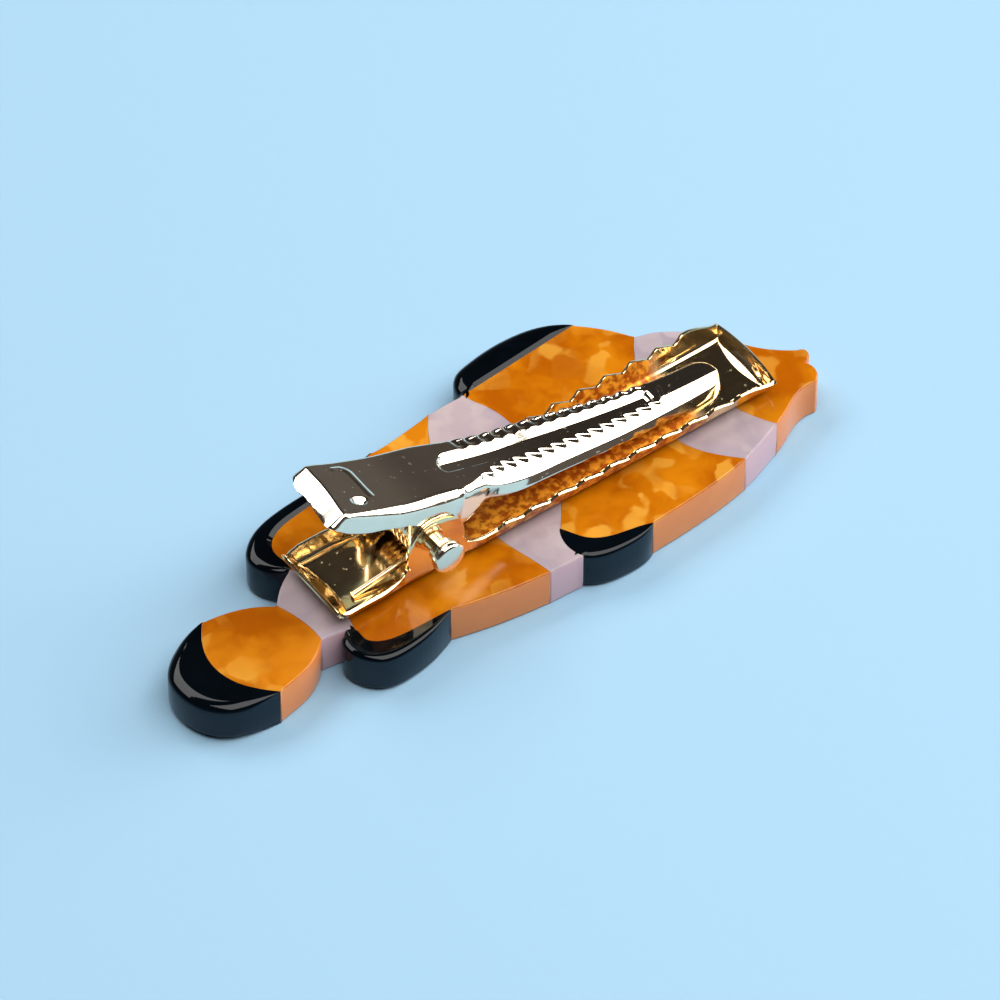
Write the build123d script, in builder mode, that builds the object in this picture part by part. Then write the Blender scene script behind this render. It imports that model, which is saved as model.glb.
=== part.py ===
"""A fish-shaped hair clip: inlaid acetate panels with a toothed metal clip on the back.

The ornament lies face down on the table, so its flat back and the clip face up. All sizes are in
millimetres. X runs from the tail to the mouth, Y from the belly to the back, Z up. The origin is the
middle of the ornament's outline, on the table.
"""
from build123d import *
from math import acos, asin, atan2, cos, radians, sin, sqrt, tan
import os

os.makedirs("parts", exist_ok=True)

# The ornament: overall outline, sheet and panel joints.
fish_length = 65.0
fish_width = 25.2
acetate_thickness = 4.0
seam_gap = 0.03

# Where the clip is glued: the middle of its length and the centre line of its jaws.
clip_middle_x = 4.7
clip_centre_y = -2.25
glue_gap = 0.03

# The glued jaw: a channel of pressed sheet with walls that lean outwards and a toothed rim.
# Heights are above the acetate.
sheet = 0.5
jaw_length = 45.0
floor_width = 7.0
wall_lean = 17.0
tail_wall_lean = 24.0
tip_wall_lean = 24.0
bend_radius = 0.4
tail_rim_height = 1.65
front_rim_height = 1.95
tip_rim_height = 1.6
tooth_height = 0.55
tooth_pitch = 2.72
tooth_count = 10
tooth_rise = 1.2
last_notch_from_tip = 4.75
tail_corner_length = 1.8
tail_lip_length = 1.7
tail_lip_rise = 1.1
tip_lip_length = 1.4
tip_lip_rise = 1.4

# The hinge: ears on the jaw, ears on the lever inside them, and a rivet with a long head at each end.
pivot_from_tail = 10.0
pivot_height = 3.8
ear_gap = 7.0
ear_radius = 2.85
ear_foot_spread = 1.6
ear_foot_round = 0.7
lever_ear_play = 0.1
lever_ear_radius = 2.3
shaft_radius = 0.9
shaft_play = 0.03
rivet_head_radius = 1.5
rivet_head_length = 1.65
rivet_edge_round = 0.3
rivet_seat = 0.02

# The lever: one pressing, a shallow arch with flanges, from the thumb plate to the tongue.
lever_length = 40.9
lever_tail_inset = 0.8
lever_tail_height = 13.3
lever_tip_height = 2.07
flange_depth = 1.35
tail_end_round = 1.1
groove_width = 1.3
groove_depth = 0.25
groove_start = 12.0
groove_end = 5.8

# The torsion spring round the rivet, wound tight, with one leg on each jaw.
wire = 0.6
coil_radius = 1.7
turns_each_side = 4
turn_overlap = 0.02
coil_split = 0.06
lower_leg_length = 7.4
upper_leg_length = 6.4
leg_play = 0.08

# Worked-out places, shared by the pieces of the clip.
clip_seat_z = acetate_thickness + glue_gap
floor_z = clip_seat_z + sheet
jaw_tail_x = clip_middle_x - jaw_length / 2
jaw_tip_x = clip_middle_x + jaw_length / 2
pivot_x = jaw_tail_x + pivot_from_tail
pivot_z = clip_seat_z + pivot_height
ear_outer = ear_gap / 2 + sheet
lever_half_width = ear_gap / 2 - lever_ear_play
lever_tail_x = jaw_tail_x + lever_tail_inset
lever_tip_x = lever_tail_x + lever_length
lever_rise = lever_tail_height - lever_tip_height
lever_radius = (lever_length**2 + lever_rise**2) / (2 * lever_rise)


def place(along, across):
    """A point of the ornament, from its shares of the length and of the width."""
    return (fish_length * (along - 0.5), fish_width * (across - 0.5))


def places(shares):
    """The points of one stretch of an outline."""
    return [place(along, across) for along, across in shares]


# Stretches of the ornament's outline, as shares of its length from the tail and of its width from
# the belly. Each one is a smooth curve, and the corners of the outline lie between them.
TAIL_ROUND = [(0.105, 0.151), (0.073, 0.155), (0.040, 0.177), (0.014, 0.236), (0.000, 0.345),
              (0.005, 0.425), (0.023, 0.482), (0.053, 0.528), (0.091, 0.548)]
TAIL_FAR = [(0.091, 0.548), (0.135, 0.530), (0.163, 0.500), (0.184, 0.462)]
TAIL_JOINT = [(0.184, 0.462), (0.194, 0.379), (0.198, 0.302), (0.197, 0.256)]
TAIL_NEAR = [(0.105, 0.151), (0.128, 0.163), (0.155, 0.181), (0.182, 0.218), (0.197, 0.256)]
STALK_FAR = [(0.184, 0.462), (0.208, 0.527), (0.233, 0.567)]
REAR_DORSAL_ROUND = [(0.233, 0.567), (0.213, 0.593), (0.203, 0.631), (0.199, 0.675), (0.203, 0.712),
                     (0.215, 0.748), (0.237, 0.783), (0.270, 0.806), (0.330, 0.820), (0.433, 0.831)]
BACK_REAR = [(0.433, 0.831), (0.480, 0.841), (0.552, 0.864), (0.587, 0.863)]
DORSAL_ROUND = [(0.587, 0.863), (0.592, 0.931), (0.602, 0.960), (0.627, 0.984), (0.673, 1.000),
                (0.716, 0.994), (0.752, 0.964), (0.778, 0.905)]
BACK_FRONT = [(0.778, 0.905), (0.807, 0.831), (0.832, 0.738)]
HEAD_FAR = [(0.832, 0.738), (0.864, 0.710), (0.884, 0.675), (0.914, 0.605), (0.946, 0.476),
            (0.968, 0.415), (0.991, 0.371)]
UPPER_LIP = [(0.991, 0.371), (1.000, 0.349), (0.997, 0.326), (0.985, 0.308)]
LOWER_LIP = [(0.985, 0.308), (0.990, 0.278), (0.987, 0.246), (0.976, 0.217)]
CHIN = [(0.976, 0.217), (0.938, 0.204), (0.911, 0.165), (0.880, 0.131), (0.823, 0.078),
        (0.775, 0.053), (0.702, 0.034), (0.658, 0.028)]
PELVIC_ROUND = [(0.658, 0.028), (0.642, 0.008), (0.612, 0.000), (0.585, 0.006), (0.563, 0.026),
                (0.552, 0.047)]
BELLY = [(0.552, 0.047), (0.502, 0.052), (0.430, 0.074), (0.361, 0.113)]
ANAL_FIN_ROUND = [(0.361, 0.113), (0.322, 0.071), (0.284, 0.052), (0.244, 0.063), (0.225, 0.105),
                  (0.215, 0.165), (0.217, 0.210), (0.231, 0.242)]
STALK_NEAR = [(0.231, 0.242), (0.214, 0.250), (0.197, 0.256)]

# Joints between the panels, each drawn from the belly side to the back.
TAIL_SEAM = [(0.105, 0.151), (0.086, 0.202), (0.067, 0.278), (0.060, 0.357), (0.066, 0.448),
             (0.078, 0.504), (0.091, 0.548)]
STALK_SEAM = [(0.236, 0.180), (0.247, 0.280), (0.254, 0.405), (0.248, 0.510), (0.233, 0.567),
              (0.222, 0.610)]
REAR_SEAM = [(0.502, 0.000), (0.499, 0.080), (0.485, 0.220), (0.477, 0.480), (0.505, 0.752),
             (0.548, 0.900)]
MIDDLE_SEAM = [(0.558, 0.060), (0.556, 0.190), (0.569, 0.232), (0.606, 0.444), (0.611, 0.640),
               (0.602, 0.772), (0.589, 0.863), (0.600, 0.930)]
FRONT_SEAM = [(0.846, 0.000), (0.821, 0.075), (0.790, 0.163), (0.772, 0.244), (0.769, 0.444),
              (0.809, 0.661), (0.850, 0.800)]
HEAD_SEAM = [(0.920, 0.060), (0.892, 0.135), (0.872, 0.222), (0.861, 0.300), (0.863, 0.464),
             (0.905, 0.605), (0.960, 0.700)]
REAR_DORSAL_SEAM = [(0.233, 0.567), (0.235, 0.610), (0.233, 0.655), (0.238, 0.692), (0.253, 0.724),
                    (0.284, 0.748), (0.317, 0.759), (0.381, 0.795), (0.433, 0.831)]
ANAL_FIN_SEAM = [(0.361, 0.113), (0.317, 0.115), (0.285, 0.119), (0.257, 0.137), (0.243, 0.175),
                 (0.243, 0.215), (0.231, 0.242)]
DORSAL_SEAM = [(0.587, 0.863), (0.778, 0.905)]
PELVIC_SEAM = [(0.658, 0.028), (0.613, 0.056), (0.590, 0.075), (0.576, 0.099), (0.564, 0.143),
               (0.554, 0.190)]
PELVIC_HORN = [(0.554, 0.190), (0.547, 0.151), (0.545, 0.101), (0.552, 0.047)]


def chained(stretches):
    """The points of each stretch in travel order, each starting where the last one ended."""
    chain = [places(stretches[0])]
    for stretch in stretches[1:]:
        points = places(stretch)
        end = Vector(*chain[-1][-1])
        if (end - Vector(*points[0])).length > (end - Vector(*points[-1])).length:
            points.reverse()
        chain.append(points)
    return chain


def moved_out(points, distance):
    """A stretch moved to the right of its direction of travel, square to itself at each point."""
    moved = []
    for i, (x, y) in enumerate(points):
        before = points[max(i - 1, 0)]
        after = points[min(i + 1, len(points) - 1)]
        along = Vector(after[0] - before[0], after[1] - before[1]).normalized()
        moved.append((x + distance * along.Y, y - distance * along.X))
    return moved


def outline_face(stretches, growth=0):
    """A flat region bounded by smooth stretches, listed anticlockwise, and grown by a distance."""
    chain = [moved_out(points, growth) for points in chained(stretches)]
    with BuildSketch() as region:
        with BuildLine():
            for points, following in zip(chain, chain[1:] + chain[:1]):
                if len(points) == 2:
                    Line(*points)
                else:
                    Spline(*points)
                if points[-1] != following[0]:
                    Line(points[-1], following[0])
        make_face()
    return region.sketch


def ahead_of(seam, shift):
    """Everything on the head's side of a seam, moved along X by a shift."""
    points = [(x + shift, y) for x, y in places(seam)]
    (near_x, near_y), (far_x, far_y) = points[0], points[-1]
    with BuildSketch() as region:
        with BuildLine():
            Spline(*points)
            Polyline((far_x, far_y), (far_x, fish_width), (fish_length, fish_width),
                     (fish_length, -fish_width), (near_x, -fish_width), (near_x, near_y))
        make_face()
    return region.sketch


def slab_of(face):
    """The full thickness of acetate on a region."""
    with BuildPart() as slab:
        add(face)
        extrude(amount=acetate_thickness)
    return slab.part


def write(piece, name):
    """Label a finished piece and write its file."""
    piece.label = name
    export_step(piece, f"parts/{name}.step")


# The closed outlines of the ornament's regions.
BODY = [TAIL_JOINT, STALK_NEAR, ANAL_FIN_ROUND, BELLY, PELVIC_ROUND, CHIN, LOWER_LIP, UPPER_LIP, HEAD_FAR,
        BACK_FRONT, DORSAL_ROUND, BACK_REAR, REAR_DORSAL_ROUND, STALK_FAR]
TAIL = [TAIL_NEAR, TAIL_JOINT, TAIL_FAR, TAIL_ROUND]
TAIL_EDGE = [TAIL_SEAM, TAIL_ROUND]
REAR_DORSAL_EDGE = [REAR_DORSAL_SEAM, REAR_DORSAL_ROUND]
ANAL_FIN_EDGE = [ANAL_FIN_SEAM, ANAL_FIN_ROUND]
DORSAL_EDGE = [DORSAL_SEAM, DORSAL_ROUND]
PELVIC_EDGE = [PELVIC_SEAM, PELVIC_HORN, PELVIC_ROUND]
tail_slab = slab_of(outline_face(TAIL))
body_slab = slab_of(outline_face(BODY))

# The tail fin is one orange panel with a black edge let into it.
with BuildPart() as tail_fin:
    add(tail_slab)
    with BuildSketch():
        add(outline_face(TAIL_EDGE, growth=seam_gap))
    extrude(amount=acetate_thickness, mode=Mode.SUBTRACT)
write(tail_fin.part, "tail_fin")

# Black edges, let into the orange along their seams.
BLACK_EDGES = {"tail_edge": TAIL_EDGE, "rear_dorsal_edge": REAR_DORSAL_EDGE, "anal_fin_edge": ANAL_FIN_EDGE,
               "dorsal_edge": DORSAL_EDGE, "pelvic_edge": PELVIC_EDGE}
for name, region in BLACK_EDGES.items():
    write(slab_of(outline_face(region)), name)


def stripe_panel(name, start_seam, end_seam, inlays):
    """A stripe of the body between two seams, cut back round the black edges let into it."""
    with BuildPart() as panel:
        add(body_slab)
        if start_seam:
            with BuildSketch():
                add(ahead_of(start_seam, seam_gap / 2))
            extrude(amount=acetate_thickness, mode=Mode.INTERSECT)
        if end_seam:
            with BuildSketch():
                add(ahead_of(end_seam, -seam_gap / 2))
            extrude(amount=acetate_thickness, mode=Mode.SUBTRACT)
        for inlay in inlays:
            with BuildSketch():
                add(outline_face(inlay, growth=seam_gap))
            extrude(amount=acetate_thickness, mode=Mode.SUBTRACT)
    write(panel.part, name)


stripe_panel("tail_stripe", None, STALK_SEAM, [TAIL, REAR_DORSAL_EDGE, ANAL_FIN_EDGE])
stripe_panel("rear_body", STALK_SEAM, REAR_SEAM, [REAR_DORSAL_EDGE, ANAL_FIN_EDGE])
stripe_panel("middle_stripe", REAR_SEAM, MIDDLE_SEAM, [DORSAL_EDGE, PELVIC_EDGE])
stripe_panel("front_body", MIDDLE_SEAM, FRONT_SEAM, [DORSAL_EDGE, PELVIC_EDGE])
stripe_panel("head_stripe", FRONT_SEAM, HEAD_SEAM, [])
stripe_panel("head", HEAD_SEAM, None, [])


# The glued jaw: a channel whose floor turns up at both ends and whose walls flare at the ends.
clip_plane = Plane.XZ.offset(-clip_centre_y)
channel_top = clip_seat_z + front_rim_height + tooth_height + sheet
floor_half = floor_width / 2 + sheet / cos(radians(wall_lean)) - sheet * tan(radians(wall_lean))
JAW_STATIONS = [(jaw_tail_x, tail_lip_rise, tail_wall_lean),
                (jaw_tail_x + tail_lip_length, 0, tail_wall_lean),
                (pivot_x - ear_radius - ear_foot_spread, 0, wall_lean),
                (jaw_tip_x - tip_lip_length, 0, wall_lean),
                (jaw_tip_x, tip_lip_rise, tip_wall_lean)]


def channel(inset):
    """The channel's outer shape up to one level, or the space inside it at an inset from the walls."""
    with BuildPart() as trough:
        for x, rise, lean in JAW_STATIONS:
            slope = tan(radians(lean))
            level = clip_seat_z + rise + inset
            bottom_half = floor_half + (rise + inset) * slope - inset / cos(radians(lean))
            top_half = bottom_half + (channel_top - level) * slope
            with BuildSketch(Plane.YZ.offset(x)) as section:
                with BuildLine():
                    Polyline((clip_centre_y - top_half, channel_top), (clip_centre_y - bottom_half, level),
                             (clip_centre_y + bottom_half, level), (clip_centre_y + top_half, channel_top),
                             close=True)
                make_face()
                fillet(section.vertices().sort_by(Axis.Y)[:2], radius=bend_radius + sheet - inset)
        loft(ruled=True)
    return trough.part


def rim_points():
    """The rim in the side view, from the tail corner to the tip corner, with its row of teeth."""
    notch_z = clip_seat_z + front_rim_height
    points = [(jaw_tail_x, clip_seat_z + tail_rim_height), (jaw_tail_x + tail_corner_length, notch_z)]
    last_notch_x = jaw_tip_x - last_notch_from_tip
    for i in reversed(range(tooth_count)):
        notch_x = last_notch_x - i * tooth_pitch
        points.append((notch_x, notch_z))
        points.append((notch_x + tooth_rise, notch_z + tooth_height))
    points.append((jaw_tip_x, clip_seat_z + tip_rim_height))
    return points


with BuildPart() as base_jaw:
    add(channel(0))
    add(channel(sheet), mode=Mode.SUBTRACT)
    with BuildSketch(clip_plane):
        with BuildLine():
            Polyline((jaw_tail_x, 0), *rim_points(), (jaw_tip_x, 0), close=True)
        make_face()
    extrude(amount=channel_top, both=True, mode=Mode.INTERSECT)
    rim_z = clip_seat_z + front_rim_height
    for side in (-1, 1):
        with BuildSketch(Plane.XZ.offset(-(clip_centre_y + side * ear_gap / 2))) as ear:
            with BuildLine():
                left, right = pivot_x - ear_radius, pivot_x + ear_radius
                Polyline((left, pivot_z), (left, rim_z), (left - ear_foot_spread, rim_z),
                         (left - ear_foot_spread, floor_z), (right + ear_foot_spread, floor_z),
                         (right + ear_foot_spread, rim_z), (right, rim_z), (right, pivot_z))
                ThreePointArc((left, pivot_z), (pivot_x, pivot_z + ear_radius), (right, pivot_z))
            make_face()
            fillet(ear.vertices().filter_by_position(Axis.Y, rim_z, rim_z).sort_by(Axis.X)[1:3],
                   radius=ear_foot_round)
            with Locations((pivot_x, pivot_z)):
                Circle(shaft_radius + rivet_seat, mode=Mode.SUBTRACT)
        extrude(amount=-side * sheet)
write(base_jaw.part, "base_jaw")


# The lever: one arched sheet with flanges, and an ear inside each ear of the jaw.
TONGUE_PLAN = [(-0.030, 1.080), (0.053, 1.085), (0.150, 1.050), (0.246, 1.010), (0.295, 1.000),
               (0.343, 0.940), (0.391, 0.850), (0.440, 0.810), (0.536, 0.735), (0.633, 0.610),
               (0.729, 0.590), (0.826, 0.530), (0.923, 0.475), (0.960, 0.460)]
tongue_plane = Plane.XY.offset(clip_seat_z)
arc_centre_z = clip_seat_z + lever_tip_height + lever_radius


def arc_z(x):
    """The height of the lever's top above a place along the clip."""
    return arc_centre_z - sqrt(lever_radius**2 - (lever_tip_x - x)**2)


def arch_point(below, share):
    """A point of the side view, a distance below the lever's top, at a share of its bend."""
    turn = share * asin(lever_length / lever_radius)
    radius = lever_radius + below
    return (lever_tip_x - radius * sin(turn), arc_centre_z - radius * cos(turn))


def arched_band(upper, lower, start, end_round):
    """The band between two distances below the lever's top, from a share of its bend to the tip."""
    with BuildPart() as band:
        with BuildSketch(clip_plane) as side_view:
            with BuildLine():
                ThreePointArc(*[arch_point(upper, start * share) for share in (1, 0.5, 0)])
                Line(arch_point(upper, 0), arch_point(lower, 0))
                ThreePointArc(*[arch_point(lower, start * share) for share in (0, 0.5, 1)])
                Line(arch_point(lower, start), arch_point(upper, start))
            make_face()
            fillet(side_view.vertices().sort_by(Axis.Y)[-1], radius=end_round)
        extrude(amount=fish_width, both=True)
    return band.part


def tongue_column(inset):
    """The lever's plan, inset from its edges, as an upright block taller than the clip."""
    tip_x = lever_tip_x - inset
    near = [(lever_tail_x + along * lever_length, clip_centre_y - across * lever_half_width + inset)
            for along, across in TONGUE_PLAN]
    far = [(x, 2 * clip_centre_y - y) for x, y in reversed(near)]
    with BuildPart() as column:
        with BuildSketch(tongue_plane):
            with BuildLine():
                Spline(*near)
                ThreePointArc(near[-1], (tip_x, clip_centre_y), far[0])
                Spline(*far)
                Line(far[-1], near[0])
            make_face()
        extrude(amount=lever_tail_height + sheet)
    return column.part


inner_end = 1 - sheet / (lever_radius * asin(lever_length / lever_radius))
with BuildPart() as hollow:
    add(arched_band(sheet, flange_depth + sheet, inner_end, tail_end_round - sheet))
    add(tongue_column(sheet), mode=Mode.INTERSECT)

groove_tail_x = jaw_tail_x + groove_start
groove_tip_x = lever_tip_x - groove_end
with BuildPart() as groove:
    add(arched_band(-sheet, groove_depth, 1, groove_depth / 2))
    with BuildSketch(tongue_plane):
        with Locations(((groove_tail_x + groove_tip_x) / 2, clip_centre_y)):
            SlotOverall(groove_tip_x - groove_tail_x, groove_width)
    extrude(amount=lever_tail_height + sheet, mode=Mode.INTERSECT)

with BuildPart() as lever:
    add(arched_band(0, flange_depth, 1, tail_end_round))
    add(tongue_column(0), mode=Mode.INTERSECT)
    add(hollow, mode=Mode.SUBTRACT)
    add(groove, mode=Mode.SUBTRACT)
    for side in (-1, 1):
        ear_face_y = clip_centre_y + side * (lever_half_width - sheet)
        with BuildSketch(Plane.XZ.offset(-ear_face_y)):
            with BuildLine():
                left, right = pivot_x - lever_ear_radius, pivot_x + lever_ear_radius
                Polyline((left, pivot_z), (left, arc_z(left) - sheet), (right, arc_z(right) - sheet),
                         (right, pivot_z))
                ThreePointArc((left, pivot_z), (pivot_x, pivot_z - lever_ear_radius), (right, pivot_z))
            make_face()
            with Locations((pivot_x, pivot_z)):
                Circle(shaft_radius + shaft_play, mode=Mode.SUBTRACT)
        extrude(amount=-side * sheet)
write(lever.part, "lever")

# The rivet: a shaft through all four ears, with a long round-edged head at each end.
with BuildPart() as pin:
    with BuildSketch(clip_plane):
        with Locations((pivot_x, pivot_z)):
            Circle(shaft_radius)
    extrude(amount=ear_outer + rivet_seat, both=True)
    for side in (-1, 1):
        head_y = clip_centre_y + side * (ear_outer + rivet_seat)
        with BuildSketch(Plane.XZ.offset(-head_y)):
            with Locations((pivot_x, pivot_z)):
                Circle(rivet_head_radius)
        extrude(amount=-side * rivet_head_length)
        end_face = pin.faces().sort_by(Axis.Y)[-1 if side > 0 else 0]
        fillet(end_face.edges(), radius=rivet_edge_round)
write(pin.part, "pin")


def half_spring(side, end_x, end_z, turning):
    """Half of the torsion spring: closed turns on one side of the middle, and their straight leg."""
    reach = sqrt((end_x - pivot_x)**2 + (end_z - pivot_z)**2)
    angle = atan2(end_z - pivot_z, end_x - pivot_x) + turning * acos(coil_radius / reach)
    start = (pivot_x + coil_radius * cos(angle), pivot_z + coil_radius * sin(angle))
    first_turn = (coil_split + wire) / 2
    last_turn = first_turn + (turns_each_side - 1) * (wire - turn_overlap)
    leg_y = clip_centre_y + side * last_turn
    with BuildPart() as spring:
        with BuildSketch(Plane.XY.offset(pivot_z)):
            for i in range(turns_each_side):
                turn_y = clip_centre_y + side * (first_turn + i * (wire - turn_overlap))
                with Locations((pivot_x + coil_radius, turn_y)):
                    Circle(wire / 2)
        revolve(axis=Axis((pivot_x, 0, pivot_z), (0, 1, 0)))
        with BuildLine():
            leg = Line((start[0], leg_y, start[1]), (end_x, leg_y, end_z))
        with BuildSketch(Plane(origin=leg @ 0, z_dir=leg % 0)):
            Circle(wire / 2)
        sweep(path=leg)
    return spring.part


# One real spring, split where its two ends turn against each other. The lower leg presses on the
# floor of the jaw and the upper leg under the thumb plate.
lower_x = pivot_x - lower_leg_length
upper_x = pivot_x - upper_leg_length
upper_drop = (sheet + leg_play + wire / 2) / cos(asin((lever_tip_x - upper_x) / lever_radius))
write(half_spring(-1, lower_x, floor_z + wire / 2 + leg_play, 1), "spring_coil")
write(half_spring(1, upper_x, arc_z(upper_x) - upper_drop, -1), "spring_arm")
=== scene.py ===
"""A fish-shaped hair clip lying face down: inlaid acetate panels with a gold alligator clip on the back.

Lengths are in millimetres until a mesh is written, which is in metres.
"""
import bmesh
import bpy
import numpy as np
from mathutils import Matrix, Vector


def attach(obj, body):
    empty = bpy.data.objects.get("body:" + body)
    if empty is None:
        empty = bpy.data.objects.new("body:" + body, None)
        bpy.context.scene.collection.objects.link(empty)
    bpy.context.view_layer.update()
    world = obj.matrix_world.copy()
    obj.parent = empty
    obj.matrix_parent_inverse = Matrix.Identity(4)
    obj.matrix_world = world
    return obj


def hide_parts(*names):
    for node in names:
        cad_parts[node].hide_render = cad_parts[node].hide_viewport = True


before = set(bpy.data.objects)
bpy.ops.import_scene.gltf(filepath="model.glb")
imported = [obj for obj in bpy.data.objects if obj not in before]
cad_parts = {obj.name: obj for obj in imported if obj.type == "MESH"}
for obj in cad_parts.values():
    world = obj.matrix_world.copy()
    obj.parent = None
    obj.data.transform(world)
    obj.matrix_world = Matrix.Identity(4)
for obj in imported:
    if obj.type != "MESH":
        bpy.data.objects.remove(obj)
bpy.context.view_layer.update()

# The ornament's panels: polished cellulose acetate 4 mm thick, cut to their outlines and bonded edge to
# edge into one plate. The outer edges are tumbled round, most of all on the black panels. The joints
# are flush, but the two far black panels slope off a little at theirs.
MM = 0.001
ORANGE_PANELS = ("tail_fin", "rear_body", "front_body", "head")
PEARL_PANELS = ("tail_stripe", "middle_stripe", "head_stripe")
BLACK_PANELS = ("tail_edge", "rear_dorsal_edge", "anal_fin_edge", "dorsal_edge", "pelvic_edge")
SLOPING_PANELS = ("rear_dorsal_edge", "dorsal_edge")
PANEL_THICKNESS = 4.0
TOP_TOLERANCE = 0.01
OUTLINE_STEP = 0.12
WELD_GRID = 500
JOINT_REACH = 0.08
LEAST_WALL = 0.02
SOFT_EDGE = 0.22
ROUND_EDGE = 1.15
EDGE_DROP = 0.62
EDGE_SHARE = 0.4
EDGE_RINGS = 7
FLAT_RING = 0.08
FLAT_SHARE = 0.1
SLOPE_REACH = 0.6
SLOPE_DROP = 0.27
SLOPE_FACING = (3, 1.2)


def top_outline(node):
    """A node's top outline as points in order: the edges with a top triangle on one side only.

    Corners are first welded on a fine grid, WELD_GRID steps to the millimetre. The order comes from
    doubling each point's step to its follower until all reach the first point.
    """
    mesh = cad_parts[node].data
    corners = np.empty(len(mesh.vertices) * 3)
    mesh.vertices.foreach_get("co", corners)
    corners = corners.reshape(-1, 3) / MM
    triangles = np.empty(len(mesh.polygons) * 3, int)
    mesh.polygons.foreach_get("vertices", triangles)
    places, merged = np.unique(np.round(corners * WELD_GRID).astype(int), axis=0, return_inverse=True)
    triangles = merged.reshape(-1)[triangles].reshape(-1, 3)
    places = places / WELD_GRID
    top = triangles[(places[triangles][:, :, 2] > PANEL_THICKNESS - TOP_TOLERANCE).all(1)]
    edges = np.concatenate([top[:, [0, 1]], top[:, [1, 2]], top[:, [2, 0]]])
    codes = edges[:, 0] * len(places) + edges[:, 1]
    back_codes = edges[:, 1] * len(places) + edges[:, 0]
    edges = edges[~np.isin(codes, back_codes)]
    follower = np.arange(len(places))
    follower[edges[:, 0]] = edges[:, 1]
    first = edges[0, 0]
    follower[first] = first
    steps = np.where(np.arange(len(places)) == first, 0, 1)
    for _ in range(int(np.log2(len(edges))) + 2):
        steps = steps + steps[follower]
        follower = follower[follower]
    used = edges[:, 0]
    ordered = used[np.argsort(-steps[used])]
    return places[ordered][:, :2]


def evenly(points, step):
    """A closed line walked again in equal steps."""
    closed = np.vstack([points, points[:1]])
    along = np.concatenate([[0], np.cumsum(np.linalg.norm(np.diff(closed, axis=0), axis=1))])
    count = int(along[-1] / step)
    marks = np.arange(count) * along[-1] / count
    return np.stack([np.interp(marks, along, closed[:, axis]) for axis in range(2)], 1)


def averaged(values, reach):
    """A closed row of values, each replaced by the mean of its neighbours up to a reach."""
    return sum(np.roll(values, shift, 0) for shift in range(-reach, reach + 1)) / (2 * reach + 1)


def distances(points, others):
    """A table of how far each point is from each of the others."""
    squares = (points**2).sum(1)[:, None] + (others**2).sum(1) - 2 * points @ others.T
    return np.sqrt(np.clip(squares, 0, None))


def write_mesh(name, points, faces, crease=35):
    """An object from points in millimetres and faces, at the origin, smooth up to a crease angle."""
    mesh = bpy.data.meshes.new(name)
    mesh.from_pydata((points * MM).tolist(), [], faces)
    work = bmesh.new()
    work.from_mesh(mesh)
    bmesh.ops.remove_doubles(work, verts=work.verts, dist=1e-6)
    bmesh.ops.dissolve_degenerate(work, edges=work.edges, dist=1e-7)
    work.to_mesh(mesh)
    work.free()
    mesh.polygons.foreach_set("use_smooth", [True] * len(mesh.polygons))
    mesh.set_sharp_from_angle(angle=np.radians(crease))
    thing = bpy.data.objects.new(name, mesh)
    bpy.context.scene.collection.objects.link(thing)
    return thing


def stacked_rings(rings, closed=True):
    """Quads between rows of points that run side by side, and the points of all rows."""
    count = len(rings[0])
    here = np.arange(count if closed else count - 1)
    there = (here + 1) % count
    row = count * np.arange(len(rings) - 1)[:, None]
    faces = np.stack([row + here, row + there, row + count + there, row + count + here], -1)
    return np.concatenate(rings), faces.reshape(-1, 4).tolist()


def wall_behind(outline, inward):
    """How much material lies behind each point: the nearest outline point straight across from it."""
    away = outline[None] - outline[:, None]
    across = (away * inward[:, None]).sum(2)
    sideways = np.abs(away[..., 0] * inward[:, None, 1] - away[..., 1] * inward[:, None, 0])
    return np.where((sideways < OUTLINE_STEP) & (across > LEAST_WALL), across, np.inf).min(1)


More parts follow.
